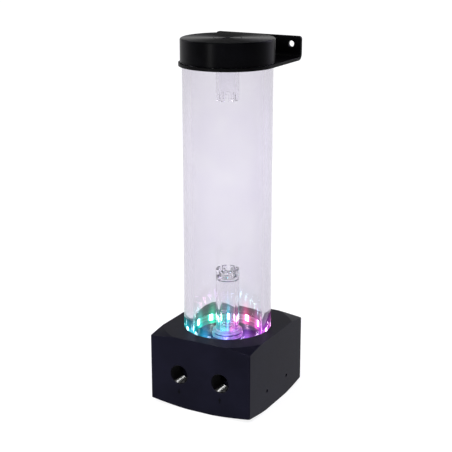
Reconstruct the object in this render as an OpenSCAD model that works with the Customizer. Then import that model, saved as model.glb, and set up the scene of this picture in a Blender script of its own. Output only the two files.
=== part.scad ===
// Coolant pump reservoir: a square pump base with two threaded ports, a clear
// reservoir tube with a light ring at its foot, a push-on cap with a fill plug,
// and a bent hanging bracket that swivels round the tube.
// Millimetres, +Z up. The origin is under the tube's axis, on the plane the feet stand on.
// The ports face -Y, and the bracket's tab stands on the +Y side.

/* [Base] */
// Width of the base across X
base_w = 76; // [74:0.5:90]
// Depth of the base across Y, from the port face to the cable face
base_d = 80; // [78:0.5:94]
// Height of the machined base block
base_h = 50.5; // [50.5:0.5:60]
// Radius of the flat turned on top of the base, where the cone begins
top_flat_r = 44.5; // [42:0.5:48]
// Radius of the flat left on the underside of the base
bottom_flat_r = 41; // [40:0.5:46]
// Angle of both turned cones, in degrees below the flat
cone_angle = 12; // [6:1:15]
// How far the rubber feet stand proud of the base
foot_proud = 0.5; // [0.3:0.1:0.6]

/* [Reservoir tube] */
// Outer radius of the clear tube
tube_r = 29.9; // [29.5:0.1:30]
// Wall thickness of the clear tube
tube_wall = 5.9; // [5:0.1:6]
// Length of the clear tube
tube_len = 200; // [150:10:250]
// Outer radius of the standpipe
standpipe_r = 8; // [7.5:0.1:8.5]
// Outer radius of the dip tube
pipe_r = 7.5; // [7:0.1:8]
// Bore radius of the standpipe and of the dip tube
pipe_bore_r = 5.5; // [4.5:0.1:5.8]
// Height of the standpipe's top above the reservoir floor
standpipe_h = 48; // [30:0.5:90]
// How far the dip tube's end hangs below the tube's top edge
dip_drop = 33.5; // [25:0.5:60]
// Depth of the notches round the open ends of both pipes
notch_depth = 4.4; // [2:0.2:6]

/* [Ports] */
// Distance between the two port axes
port_spacing = 31.4; // [30:0.2:34]
// Height of the port axes above the base's underside
port_z = 24.1; // [23.5:0.1:25]
// Radius at the roots of the port thread
port_r = 6.58; // [6.4:0.01:6.6]
// Depth of the threaded port
port_depth = 12; // [10:0.5:12]

/* [Cap] */
// Outer radius of the cap
cap_r = 31; // [30.9:0.1:33]
// Height of the cap from the rim of its skirt to its flat top
cap_h = 15.4; // [14:0.1:20]
// Radius of the fill plug's slotted head
plug_head_r = 8.9; // [8:0.1:10]
// Width of the slot in the fill plug
plug_slot_w = 2.2; // [1.5:0.1:3]

/* [Bracket] */
// Half width of the bracket, and the outer radius of its collar
bracket_r = 32.1; // [32:0.1:36]
// Thickness of the bracket's sheet
bracket_t = 2; // [1.5:0.1:2]
// Distance from the tube's axis to the outer face of the tab
tab_y = 45; // [44:0.5:60]
// Height of the tab above the collar's underside
tab_h = 15.8; // [14:0.2:40]
// Distance between the tab's two holes
tab_hole_spacing = 50; // [40:1:52]
// Radius of the tab's holes
tab_hole_r = 2.1; // [1.7:0.1:2.3]

/* [Pump] */
// Outer radius of the impeller's back plate
impeller_r = 14.5; // [13:0.1:14.8]
// Number of backswept vanes on the impeller
vane_count = 6; // [5:1:8]
// Number of stator teeth, each with its coil
tooth_count = 6; // [6:3:9]
// Number of light diodes in the ring
led_count = 12; // [6:1:16]

/* [Hidden] */
$fn = 96;
eps = 0.01;

// Heights, from the feet upwards
base_z = foot_proud;
base_top = base_z + base_h;
cover_t = 2.5;
cover_top = base_z + cover_t;
board_z = cover_top + 0.6;
board_t = 1.6;
can_z = 5.6;
can_floor = 1.1;
boss_top = can_z + can_floor + 1.9;
washer_t = 0.5;
rotor_z = boss_top + washer_t + 0.3;
rotor_len = 9.5;
port_axis_z = base_z + port_z;
pump_plate_z = 17.5;
chamber_z = 21;
eye_z = 28;
eye_t = 1.5;
gallery_h = 2.5;
gallery_z = eye_z + eye_t;
return_z = 33.5;
web_z = 38;
floor_z = base_top - 7.2;
socket_z = floor_z - 4.3;
gasket_t = 1.5;
tube_z = socket_z + gasket_t;
tube_top = tube_z + tube_len;
led_z = base_top - 4.5;

// Cap and bracket heights, measured down from the tube's top
bracket_z = tube_top - 11;
skirt_z = bracket_z + bracket_t + 0.3;
cap_top = skirt_z + cap_h;
cap_ceiling = tube_top + 0.5;
spigot_z = bracket_z + 0.3;
plug_seat = cap_top - 3.2;
dip_seat = skirt_z + 5.7;

// Radii
tube_bore_r = tube_r - tube_wall;
socket_r = tube_r + 0.1;
island_r = tube_bore_r - 0.3;
pocket_r = 25;
insert_r = pocket_r - 0.1;
chamber_r = 15.5;
cover_r = 31.4;
spigot_r = tube_bore_r - 0.3;
collar_bore_r = tube_r + 0.4;
led_groove_r = 33.2;
can_r = 10.9;
can_bore_r = 9.8;
rotor_r = 9.3;
bush_r = 3;
shaft_r = 1.5;
stator_r = 18.5;
pump_screw_r = 22;
cover_screw_r = 28.2;
foot_xy = 26.3;
foot_r = 4.8;
foot_t = 2;

// Water ways
suction_r = 4.5;
suction_pcd_r = 15;
suction_angle = 45;
water_r = 3.5;
water_x = 13;
riser = [12.2, -15.2];
slot_w = 8;
channel_w = 6.2;
thread_r = 5.7;
fit = 0.05;

// Small parts
m3_r = 1.5;
m3_head_r = 2.7;
side_hole_r = 1.25;
side_hole_y = [-14, 16];
side_hole_z = base_z + 13.4;
side_hole_depth = 8;
led_angle = 25.5;
led_size = 5;
led_t = 1.6;
flange_r = 10.2;
flange_t = 1.7;
collar_r = 10.7;
collar_t = 1.9;
standpipe_seal_t = 0.8;
notch_w = 2.4;
o_ring_z = [spigot_z + 2.6, spigot_z + 6.2];
o_ring_h = 1.8;
o_ring_depth = 1.5;
seal_t = 0.6;
seal_gap = 0.05;
cable_z = base_z + 11;
cable_r = 3.5;
led_cable_r = 2.5;

// A ring of rectangular section, standing from z up to z + h
module ring(r_out, r_in, z, h) {
    translate([0, 0, z])
        difference() {
            cylinder(r = r_out, h = h);
            translate([0, 0, -1]) cylinder(r = r_in, h = h + 2);
        }
}

// A seal ring pressed flat between its seats, with rounded corners
module seal_ring(r_out, r_in, z, h) {
    c = min(h, r_out - r_in) * 0.3;
    rotate_extrude()
        polygon([[r_in + c, z], [r_out - c, z], [r_out, z + c], [r_out, z + h - c],
                 [r_out - c, z + h], [r_in + c, z + h], [r_in, z + h - c], [r_in, z + c]]);
}

// A plain drilled hole from z up to z + h at x, y
module drill(x, y, z, h, r) {
    translate([x, y, z]) cylinder(r = r, h = h);
}

// A hole drilled along Y, between two values of y
module drill_y(x, z, y0, y1, r) {
    translate([x, y0, z]) rotate([-90, 0, 0]) cylinder(r = r, h = y1 - y0);
}

// Repeats its child round the Z axis
module around(n, start = 0) {
    for (i = [0 : n - 1]) rotate([0, 0, start + i * 360 / n]) children();
}

// ---- Base ----

// The outside of the base: a square prism cut by a cone above and a cone below
module base_outside() {
    far = 70;
    drop_top = (far - top_flat_r) * tan(cone_angle);
    drop_bottom = (far - bottom_flat_r) * tan(cone_angle);
    c = 0.8;
    x = base_w / 2;
    y = base_d / 2;
    intersection() {
        translate([0, 0, base_z])
            linear_extrude(base_h)
                polygon([[-x + c, -y], [x - c, -y], [x, -y + c], [x, y - c],
                         [x - c, y], [-x + c, y], [-x, y - c], [-x, -y + c]]);
        rotate_extrude()
            polygon([[0, base_z], [bottom_flat_r, base_z], [far, base_z + drop_bottom],
                     [far, base_top - drop_top], [top_flat_r, base_top], [0, base_top]]);
    }
}

// The socket for the tube's foot, the groove round it for the light strip
// and the smaller groove for its O-ring
module tube_socket() {
    ring(socket_r, island_r, socket_z, floor_z - socket_z + eps);
    drill(0, 0, floor_z, base_top - floor_z + 1, socket_r);
    translate([0, 0, led_z - 2.7]) cylinder(r = led_groove_r, h = 5.4);
    ring(socket_r + 1.6, socket_r - 1, tube_z, 1.9);
}

// One threaded port with its countersunk mouth
module port(x) {
    mouth = 0.4;
    y = -base_d / 2;
    drill_y(x, port_axis_z, y - 1, y + port_depth, port_r);
    translate([x, y - eps, port_axis_z])
        rotate([-90, 0, 0]) cylinder(r1 = port_r + mouth, r2 = port_r, h = mouth);
    drill_y(x > 0 ? water_x : -water_x, port_axis_z, y + port_depth - 1, -pocket_r + 8, water_r);
}

module base_housing() {
    color([0.10, 0.10, 0.13])
        difference() {
            base_outside();
            tube_socket();
            // Pump pocket and the seat of the bottom cover
            drill(0, 0, cover_top - eps, web_z - cover_top + eps, pocket_r);
            drill(0, 0, base_z - 1, cover_t + 1, cover_r + 0.1);
            for (side = [-1, 1]) {
                port(side * port_spacing / 2);
                for (y = side_hole_y)
                    translate([side * (base_w / 2 + 1), y, side_hole_z])
                        rotate([0, -side * 90, 0]) cylinder(r = side_hole_r, h = side_hole_depth + 1);
            }
            // Suction holes and the standpipe's thread through the reservoir floor
            around(2, suction_angle) drill(suction_pcd_r, 0, web_z - 1, 20, suction_r);
            drill(0, 0, web_z - 1, 20, thread_r);
            // Screw holes
            around(4) drill(pump_screw_r, 0, web_z - 1, 5, m3_r);
            around(4, 45) drill(cover_screw_r, 0, cover_top - 1, 8, m3_r);
            // Cable ways out of the back face
            drill_y(0, cable_z, pocket_r - 2, base_d / 2 + 1, cable_r);
            drill_y(0, led_z, led_groove_r - 1, base_d / 2 + 1, led_cable_r);
            // Seats of the feet
            for (x = [-1, 1], y = [-1, 1])
                drill(x * foot_xy, y * foot_xy, base_z - 1, foot_t - foot_proud + 1, foot_r + 0.1);
        }
}

module bottom_cover() {
    color([0.12, 0.12, 0.14])
        difference() {
            union() {
                drill(0, 0, base_z, cover_t, cover_r);
                ring(23, 19, cover_top - eps, board_z - cover_top + eps);
            }
            around(4, 45) translate([cover_screw_r, 0, 0]) {
                translate([0, 0, base_z - 1]) cylinder(r = m3_r + 0.1, h = cover_t + 2);
                translate([0, 0, base_z - eps]) cylinder(r1 = m3_head_r, r2 = m3_r, h = 1.6);
            }
        }
}

// Four countersunk screws that hold the bottom cover
module cover_screws() {
    color([0.55, 0.56, 0.58])
        around(4, 45) translate([cover_screw_r, 0, base_z])
            difference() {
                union() {
                    cylinder(r1 = m3_head_r - 0.05, r2 = m3_r, h = 1.6);
                    cylinder(r = m3_r - fit, h = cover_t + 6);
                }
                translate([0, 0, -1]) cylinder(r = 1.1, h = 2.1, $fn = 6);
            }
}

module rubber_feet() {
    color([0.08, 0.08, 0.08])
        for (x = [-1, 1], y = [-1, 1])
            translate([x * foot_xy, y * foot_xy, 0])
                rotate_extrude()
                    polygon([[0, 0], [foot_r - 0.4, 0], [foot_r, 0.4], [foot_r, foot_t], [0, foot_t]]);
}

// ---- Pump ----

module driver_board() {
    color([0.05, 0.30, 0.16])
        difference() {
            drill(0, 0, board_z, board_t, 23.4);
            // Cut-out for the cable's wires
            translate([-4, 19, board_z - 1]) cube([8, 10, board_t + 2]);
        }
}

// Parts on the driver board: the drive chip, its transistors, coils and capacitors
module board_parts() {
    top = board_z + board_t;
    color([0.12, 0.12, 0.13]) {
        translate([-3.5, -3.5, top]) cube([7, 7, 0.3]);
        around(3, 30) translate([15, -2.5, top]) cube([4.5, 5, 1.3]);
    }
    color([0.68, 0.55, 0.35])
        around(3, 90) translate([19, -1.5, top]) cube([2, 3, 1.2]);
}

// The pump's lower plate with the thin can that the rotor turns in
module pump_body() {
    color([0.16, 0.16, 0.18])
        difference() {
            union() {
                rotate_extrude()
                    polygon([[0, can_z], [can_r, can_z], [can_r, pump_plate_z],
                             [insert_r, pump_plate_z], [insert_r, chamber_z],
                             [can_bore_r, chamber_z], [can_bore_r, can_z + can_floor],
                             [0, can_z + can_floor]]);
                drill(0, 0, can_z + can_floor - eps, boss_top - can_z - can_floor + eps, 3.2);
            }
            drill(0, 0, can_z + 0.6, 10, shaft_r);
            ring(18.4, 16.6, chamber_z - 1.3, 2);
            ring(insert_r + 1, insert_r - 1.4, pump_plate_z + 0.8, 1.9);
            around(4) drill(pump_screw_r, 0, pump_plate_z - 1, 6, m3_r + 0.1);
            // Way for the cable's wires past the plate's rim
            translate([-3, pocket_r - 4.5, pump_plate_z - 1]) cube([6, 2.2, 1.6]);
        }
}

// One stator tooth: a web and the curved shoe that faces the rotor
module tooth_outline() {
    translate([can_r + 0.6, -1.5]) square([stator_r - can_r - 2, 3]);
    intersection() {
        difference() {
            circle(r = can_r + 1.3);
            circle(r = can_r + 0.02);
        }
        polygon([[0, 0], [20, -20 * tan(20)], [20, 20 * tan(20)]]);
    }
}

module stator_core() {
    color([0.45, 0.46, 0.48])
        translate([0, 0, 8.5]) linear_extrude(7.5) {
            difference() {
                circle(r = stator_r);
                circle(r = stator_r - 2.5);
            }
            around(tooth_count) tooth_outline();
        }
}

// Each coil is a wound block with the tooth's web through it
module stator_coils() {
    color([0.72, 0.38, 0.18])
        around(tooth_count)
            difference() {
                translate([can_r + 1.6, 0, 12.25]) rotate([0, 90, 0])
                    linear_extrude(3.1) square([10, 7], center = true);
                translate([can_r, -1.5, 8.5]) cube([8, 3, 7.5]);
            }
}

// Two O-rings round the pump: one on its lower plate and one on its top
module pump_o_rings() {
    color([0.07, 0.07, 0.07]) {
        seal_ring(pocket_r - 0.02, insert_r - 1.4, pump_plate_z + 0.85, 1.8);
        seal_ring(pocket_r - 0.02, insert_r - 1.4, gallery_z + 0.55, 1.8);
    }
}

module volute_seal() {
    color([0.07, 0.07, 0.07]) seal_ring(18.35, 16.65, chamber_z - 1.3, 1.3);
}

// The pump's top: impeller chamber below, suction slot through the middle,
// and the return channel that crosses above it to the standpipe
module pump_top() {
    color([0.14, 0.14, 0.16])
        difference() {
            drill(0, 0, chamber_z, web_z - chamber_z, insert_r);
            drill(0, 0, chamber_z - 1, gallery_z - chamber_z + 1, chamber_r);
            // Outlet, tangent to the chamber
            drill_y(-water_x, port_axis_z, -pocket_r - 1, -3, water_r);
            // Suction: two wells and the slot between them
            around(2, suction_angle) drill(suction_pcd_r, 0, gallery_z + 0.4, 20, suction_r);
            rotate([0, 0, suction_angle])
                translate([-suction_pcd_r, -slot_w / 2, gallery_z - 1])
                    cube([2 * suction_pcd_r, slot_w, gallery_h + 1]);
            // Return: in from the port, up the riser and across to the middle
            drill_y(water_x, port_axis_z, -pocket_r - 1, riser[1], water_r);
            drill(riser[0], riser[1], port_axis_z, 20, water_r);
            rotate([0, 0, atan2(riser[1], riser[0])])
                translate([0, -channel_w / 2, return_z]) cube([norm(riser), channel_w, 20]);
            drill(0, 0, return_z, 20, thread_r);
            // Groove of the upper O-ring
            ring(insert_r + 1, insert_r - 1.4, gallery_z + 0.5, 1.9);
            around(4) drill(pump_screw_r, 0, chamber_z - 1, 40, m3_r + 0.1);
        }
}

module eye_plate() {
    color([0.20, 0.20, 0.22]) ring(chamber_r - 0.02, 6, eye_z, eye_t);
}

// Four long screws that draw the pump up against the reservoir floor
module pump_screws() {
    color([0.60, 0.61, 0.63])
        around(4) translate([pump_screw_r, 0, pump_plate_z])
            difference() {
                union() {
                    translate([0, 0, -3]) cylinder(r = m3_head_r, h = 3);
                    cylinder(r = m3_r - fit, h = web_z + 3.5 - pump_plate_z);
                }
                translate([0, 0, -4]) cylinder(r = 1.45, h = 2.8, $fn = 6);
            }
}

module pump_shaft() {
    color([0.90, 0.89, 0.86]) drill(0, 0, can_z + 0.6, 20, shaft_r);
}

module thrust_washer() {
    color([0.92, 0.91, 0.88]) ring(3.2, shaft_r, boss_top, washer_t);
}

module rotor_magnet() {
    color([0.25, 0.25, 0.27]) ring(rotor_r, bush_r, rotor_z + 0.2, rotor_len);
}

module rotor_bush() {
    color([0.30, 0.29, 0.28]) ring(bush_r, shaft_r + fit, rotor_z, 14);
}

// One backswept vane: an arc that leaves the hub and meets the rim at a slant
module vane() {
    arc_r = 8.5;
    arc_x = 6.5;
    vane_t = 1.1;
    intersection() {
        difference() {
            circle(r = impeller_r - 0.3);
            circle(r = bush_r + 1);
        }
        translate([arc_x, 0]) difference() {
            circle(r = arc_r);
            circle(r = arc_r - vane_t);
        }
        translate([-20, 0]) square([40, 20]);
    }
}

module impeller() {
    boss_z = rotor_z + 0.2 + rotor_len;
    plate_z = chamber_z + 0.6;
    plate_t = 1.2;
    color([0.15, 0.15, 0.17])
        difference() {
            union() {
                drill(0, 0, boss_z, plate_z - boss_z + eps, rotor_r - 0.3);
                drill(0, 0, plate_z, plate_t, impeller_r);
                drill(0, 0, plate_z, 4, bush_r + 1.6);
                translate([0, 0, plate_z + plate_t - eps])
                    linear_extrude(4) around(vane_count) vane();
            }
            drill(0, 0, boss_z - 1, 20, bush_r);
        }
}

// ---- Cable glands and lights ----

// A rubber bush with a round lip outside the wall and a hole for a cable
module grommet(z, r_hole, r_wall, r_lip) {
    back = base_d / 2;
    color([0.09, 0.09, 0.09])
        translate([0, back, z]) rotate([-90, 0, 0])
            rotate_extrude()
                polygon([[r_hole, -5], [r_wall, -5], [r_wall, 0], [r_lip, 0], [r_lip, 0.9],
                         [r_lip - 0.5, 1.4], [r_hole + 0.4, 1.4], [r_hole, 1]]);
}

module pump_cable_grommet() {
    grommet(cable_z, 1.9, cable_r, cable_r + 1.7);
}

module light_cable_grommet() {
    grommet(led_z, 1.2, led_cable_r, led_cable_r + 1.3);
}

module light_strip() {
    color([0.85, 0.85, 0.80])
        ring(led_groove_r - 0.1, led_groove_r - 0.6, led_z - 2.6, 5.2);
}

module light_diodes() {
    color([0.95, 0.95, 0.92])
        around(led_count, led_angle)
            difference() {
                translate([led_groove_r - 0.6 - led_t, -led_size / 2, led_z - led_size / 2])
                    cube([led_t + 0.3, led_size, led_size]);
                translate([0, 0, led_z - led_size])
                    difference() {
                        cylinder(r = led_groove_r + 4, h = 2 * led_size);
                        translate([0, 0, -1]) cylinder(r = led_groove_r - 0.62, h = 2 * led_size + 2);
                    }
            }
}

// ---- Reservoir ----

module tube_gasket() {
    color([0.08, 0.08, 0.08]) seal_ring(tube_r - 0.1, tube_bore_r + 0.1, socket_z, gasket_t);
}

module tube_o_ring() {
    color([0.07, 0.07, 0.07]) seal_ring(socket_r + 1.6, tube_r, tube_z + 0.02, 1.86);
}

module reservoir_tube() {
    c = 0.4;
    color([0.88, 0.86, 0.92, 0.35])
        rotate_extrude()
            polygon([[tube_bore_r, tube_z], [tube_r, tube_z], [tube_r, tube_top - c],
                     [tube_r - c, tube_top], [tube_bore_r + c, tube_top],
                     [tube_bore_r, tube_top - c]]);
}

// The clear washer under the standpipe's flange
module standpipe_collar() {
    color([0.80, 0.88, 0.92, 0.5])
        rotate_extrude()
            polygon([[thread_r, floor_z], [collar_r, floor_z], [collar_r, floor_z + collar_t - 0.3],
                     [collar_r - 0.3, floor_z + collar_t], [thread_r, floor_z + collar_t]]);
}

module standpipe_seal() {
    color([0.07, 0.07, 0.07])
        seal_ring(flange_r - 0.4, thread_r + 1.2, floor_z + collar_t, standpipe_seal_t);
}

// Notches across the open end of a pipe, from z up to z + h
module notches(z, h) {
    around(4, 22.5)
        translate([-standpipe_r - 1, -notch_w / 2, z]) cube([2 * standpipe_r + 2, notch_w, h]);
}

// The clear standpipe: threaded foot, flange, pipe and a notched, counterbored top
module standpipe() {
    flange_z = floor_z + collar_t + standpipe_seal_t;
    top = floor_z + standpipe_h;
    foot_r = thread_r - fit;
    foot_bore = 3.8;
    bell_r = pipe_bore_r + 0.7;
    color([0.86, 0.90, 0.94, 0.5])
        difference() {
            rotate_extrude()
                polygon([[foot_bore, web_z + 0.5], [foot_r, web_z + 0.5], [foot_r, flange_z],
                         [flange_r, flange_z], [flange_r, flange_z + flange_t - 0.4],
                         [flange_r - 0.4, flange_z + flange_t],
                         [standpipe_r + 0.8, flange_z + flange_t],
                         [standpipe_r, flange_z + flange_t + 0.8], [standpipe_r, top - 0.3],
                         [standpipe_r - 0.3, top], [bell_r, top], [bell_r, top - 7],
                         [pipe_bore_r, top - 7.7], [pipe_bore_r, flange_z + 1.7],
                         [foot_bore, flange_z]]);
            notches(top - notch_depth, notch_depth + 1);
        }
}

// ---- Bracket ----

// The side view of the bent sheet, along Y and Z: collar plate, bend and tab
module bent_outline() {
    bend_in = 2.5;
    bend_out = bend_in + bracket_t;
    y1 = tab_y - bend_out;
    z1 = bend_out;
    square([y1, bracket_t]);
    translate([tab_y - bracket_t, z1]) square([bracket_t, tab_h - z1]);
    intersection() {
        translate([y1, z1]) difference() {
            circle(r = bend_out);
            circle(r = bend_in);
        }
        translate([y1, 0]) square([bend_out, z1]);
    }
}

module bracket() {
    corner = 2;
    tab_top = bracket_z + tab_h;
    hole_z = tab_top - 5.3;
    w = 2 * bracket_r;
    color([0.07, 0.07, 0.08])
        difference() {
            union() {
                drill(0, 0, bracket_z, bracket_t, bracket_r);
                intersection() {
                    translate([-bracket_r, 0, bracket_z])
                        rotate([90, 0, 90]) linear_extrude(w) bent_outline();
                    // The tab's two upper corners are rounded
                    translate([-bracket_r, 0, bracket_z - 1]) union() {
                        translate([corner, 0, 0]) cube([w - 2 * corner, tab_y + 1, tab_h + 1]);
                        cube([w, tab_y + 1, tab_h + 1 - corner]);
                        for (x = [corner, w - corner])
                            translate([x, 0, tab_h + 1 - corner])
                                rotate([-90, 0, 0]) cylinder(r = corner, h = tab_y + 1);
                    }
                }
            }
            drill(0, 0, bracket_z - 1, bracket_t + 2, collar_bore_r);
            ring(collar_bore_r + 0.7, collar_bore_r - 1, bracket_z + 0.5, bracket_t - 1);
            for (side = [-1, 1])
                drill_y(side * tab_hole_spacing / 2, hole_z, tab_y - bracket_t - 1, tab_y + 1, tab_hole_r);
        }
}

// The rubber ring in the collar's groove that grips the tube
module bracket_grip_ring() {
    color([0.07, 0.07, 0.07])
        seal_ring(collar_bore_r + 0.68, tube_r + fit, bracket_z + 0.52, bracket_t - 1.04);
}

// ---- Cap ----

// The turned cap: skirt over the tube, spigot inside it, and the fill hole
module cap_cover() {
    edge = 1.2;
    skirt_bore_r = tube_r + 0.3;
    arc = [for (a = [0 : 15 : 90]) [cap_r - edge + edge * cos(a), cap_top - edge + edge * sin(a)]];
    outline = concat(
        [[pipe_r + fit, spigot_z], [spigot_r - 0.5, spigot_z], [spigot_r, spigot_z + 0.5],
         [spigot_r, cap_ceiling], [skirt_bore_r, cap_ceiling], [skirt_bore_r, skirt_z],
         [cap_r - 0.2, skirt_z], [cap_r, skirt_z + 0.2]],
        arc,
        [[plug_head_r + 0.3, cap_top], [plug_head_r + 0.3, plug_seat], [port_r, plug_seat],
         [port_r, dip_seat], [pipe_r + fit, dip_seat]]);
    color([0.07, 0.07, 0.08])
        difference() {
            rotate_extrude() polygon(outline);
            for (z = o_ring_z)
                ring(spigot_r + 0.2, spigot_r - o_ring_depth, z, o_ring_h);
        }
}

module cap_o_rings() {
    color([0.07, 0.07, 0.07])
        for (z = o_ring_z)
            seal_ring(tube_bore_r - fit, spigot_r - o_ring_depth, z + 0.02, o_ring_h - 0.04);
}

// The clear dip tube that hangs from the cap below the fill hole, notched at its end
module dip_tube() {
    dip_end = tube_top - dip_drop;
    color([0.86, 0.86, 0.94, 0.5])
        difference() {
            rotate_extrude()
                polygon([[pipe_bore_r + 0.3, dip_end], [pipe_r - 0.3, dip_end],
                         [pipe_r, dip_end + 0.3], [pipe_r, dip_seat],
                         [pipe_bore_r, dip_seat], [pipe_bore_r, dip_end + 0.3]]);
            notches(dip_end - 1, notch_depth + 1);
        }
}

module fill_plug_seal() {
    color([0.07, 0.07, 0.07]) seal_ring(plug_head_r - 0.2, port_r + 0.3, plug_seat + seal_gap, seal_t);
}

// The fill plug: slotted head above the seal and the threaded shank below it
module fill_plug() {
    head_z = plug_seat + seal_gap + seal_t;
    head_t = cap_top - head_z;
    slot_depth = 1.4;
    shank_len = 5.2;
    color([0.09, 0.09, 0.10])
        difference() {
            rotate_extrude()
                polygon([[0, head_z - shank_len], [port_r - 0.6, head_z - shank_len],
                         [port_r - fit, head_z - shank_len + 0.6], [port_r - fit, head_z],
                         [plug_head_r, head_z], [plug_head_r, cap_top - 0.2],
                         [plug_head_r - 0.2, cap_top], [0, cap_top]]);
            translate([-plug_slot_w / 2, -plug_head_r - 1, cap_top - slot_depth])
                cube([plug_slot_w, 2 * plug_head_r + 2, head_t]);
        }
}

base_housing();
bottom_cover();
cover_screws();
rubber_feet();
driver_board();
board_parts();
pump_body();
stator_core();
stator_coils();
pump_o_rings();
volute_seal();
pump_top();
eye_plate();
pump_screws();
pump_shaft();
thrust_washer();
rotor_magnet();
rotor_bush();
impeller();
pump_cable_grommet();
light_cable_grommet();
light_strip();
light_diodes();
tube_gasket();
tube_o_ring();
reservoir_tube();
standpipe_collar();
standpipe_seal();
standpipe();
bracket();
bracket_grip_ring();
cap_cover();
cap_o_rings();
dip_tube();
fill_plug_seal();
fill_plug();
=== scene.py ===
# %% [markdown]
# # A coolant pump reservoir, dressed for rendering
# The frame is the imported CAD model: a machined base with the pump inside, a clear tube
# on top of it, a cap with a fill plug and a bent bracket. Blender adds the finishes and
# the shapes that are too fine for the CAD: threads, rounded edges, pressed seals, moulded
# lips and marks. The CAD objects stay where they are, so everything here is placed from them.

# %% Load the frame
import math
import bmesh
import bpy
import numpy as np
from mathutils import Matrix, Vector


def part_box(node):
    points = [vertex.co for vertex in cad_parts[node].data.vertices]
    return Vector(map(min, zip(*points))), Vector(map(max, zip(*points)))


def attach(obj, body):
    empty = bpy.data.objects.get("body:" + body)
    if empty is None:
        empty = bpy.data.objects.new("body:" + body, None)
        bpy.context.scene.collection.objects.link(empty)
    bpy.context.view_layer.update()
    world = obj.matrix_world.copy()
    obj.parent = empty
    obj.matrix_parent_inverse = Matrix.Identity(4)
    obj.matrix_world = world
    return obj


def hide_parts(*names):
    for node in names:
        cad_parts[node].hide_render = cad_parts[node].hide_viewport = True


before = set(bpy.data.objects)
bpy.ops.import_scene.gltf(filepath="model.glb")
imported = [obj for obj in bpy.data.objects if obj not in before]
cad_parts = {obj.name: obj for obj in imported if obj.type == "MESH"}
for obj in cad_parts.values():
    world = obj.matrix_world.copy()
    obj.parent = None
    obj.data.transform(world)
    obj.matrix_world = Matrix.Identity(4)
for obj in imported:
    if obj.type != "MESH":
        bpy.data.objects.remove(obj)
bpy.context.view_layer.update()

MM = 0.001
# A G 1/4 thread has 19 turns an inch
PITCH = 1.337

# %% [markdown]
# ## Camera and view
# The camera is a 90 mm lens on a 36 mm sensor, about three quarters of a metre away,
# turned a little to the object's right and looking slightly down. A long lens from this
# distance keeps the tube's sides almost parallel. The view transform is Standard, so a
# colour on the object comes out about as it is written.

# %% Camera and view
scene = bpy.context.scene
scene.view_settings.view_transform = "Standard"

lens = bpy.data.cameras.new("camera")
lens.lens = 90.0
lens.sensor_width = 36.0
lens.clip_end = 60.0
camera = bpy.data.objects.new("camera", lens)
scene.collection.objects.link(camera)
camera.location = (0.3481, -0.6444, 0.3354)
camera.rotation_euler = (math.radians(90 - 16.3), 0, math.radians(28.46))
scene.camera = camera
print("camera is", round(camera.location.length, 3), "m from the origin")

# %% [markdown]
# ## One function for nodes
# Every material below is a small graph of nodes. One function adds a node, sets its
# properties and fills its inputs, each with a plain value or with the output of another
# node. Colours are written as sRGB hex, as in a paint chart, and turned to linear once.

# %% Node and colour helpers
def linear(hex_colour):
    """An sRGB hex colour as linear RGBA: each channel c is c/12.92 in the darkest part
    of the scale, and ((c + 0.055) / 1.055) to the power 2.4 above it."""
    c = np.array([int(hex_colour[i:i + 2], 16) for i in (1, 3, 5)]) / 255
    lin = np.where(c <= 0.04045, c / 12.92, ((c + 0.055) / 1.055) ** 2.4)
    return (*map(float, lin), 1.0)


def add(tree, kind, inputs=None, stops=(), **settings):
    """Adds a shader node with its settings; inputs maps a socket's name or number to a
    value or to another node's output. A colour ramp also takes its stops, a list of
    (place from 0 to 1, hex colour)."""
    node = tree.nodes.new("ShaderNode" + kind)
    for name, value in settings.items():
        setattr(node, name, value)
    for key, value in (inputs or {}).items():
        socket = node.inputs[key]
        if isinstance(value, bpy.types.NodeSocket):
            tree.links.new(value, socket)
        else:
            socket.default_value = value
    while stops and len(node.color_ramp.elements) < len(stops):
        node.color_ramp.elements.new(0.5)
    for k, (place, colour) in enumerate(stops):
        node.color_ramp.elements[k].position = place
        node.color_ramp.elements[k].color = linear(colour)
    return node


def finish(name, **shader_values):
    """A new material with one Principled shader. Returns it with its tree, the shader
    and the Object coordinates, which are metres in the frame of the CAD."""
    material = bpy.data.materials.new(name)
    material.use_nodes = True
    tree = material.node_tree
    tree.nodes.clear()
    shader = add(tree, "BsdfPrincipled",
                 {key.replace("_", " "): value for key, value in shader_values.items()})
    add(tree, "OutputMaterial", {"Surface": shader.outputs[0]}, name="out")
    place = add(tree, "TexCoord").outputs["Object"]
    return material, tree, shader, place


def grain(tree, place, size_mm, detail=2.0, **settings):
    """Noise whose lumps are about size_mm across."""
    return add(tree, "TexNoise", {"Vector": place, "Scale": 1 / (size_mm * MM),
                                  "Detail": detail}, **settings).outputs["Fac"]


def between(tree, value, low, high, to_low=0.0, to_high=1.0):
    """value from low..high mapped to to_low..to_high, and held at the ends."""
    return add(tree, "MapRange", {"Value": value, "From Min": low, "From Max": high,
                                  "To Min": to_low, "To Max": to_high}).outputs[0]


def soft_edge(tree, radius_mm):
    """The surface's normal with its edges rounded by radius_mm, for edges that are
    sharp in the CAD but broken with a file or a tumbler on the real part."""
    return add(tree, "Bevel", {"Radius": radius_mm * MM}, samples=6).outputs["Normal"]


def edge_mask(tree, rounded):
    """0 on a flat and 1 on an edge: where the rounded normal leaves the true one."""
    true = add(tree, "NewGeometry").outputs["Normal"]
    same = add(tree, "VectorMath", {0: rounded, 1: true}, operation="DOT_PRODUCT")
    return between(tree, same.outputs["Value"], 0.995, 0.86)


def bumped(tree, shader, height, depth_mm, normal=None):
    """Feeds a bump of that real depth to the shader, on top of a given normal."""
    inputs = {"Height": height, "Distance": depth_mm * MM, "Strength": 1.0}
    if normal is not None:
        inputs["Normal"] = normal
    bump = add(tree, "Bump", inputs)
    tree.links.new(bump.outputs[0], shader.inputs["Normal"])


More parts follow.
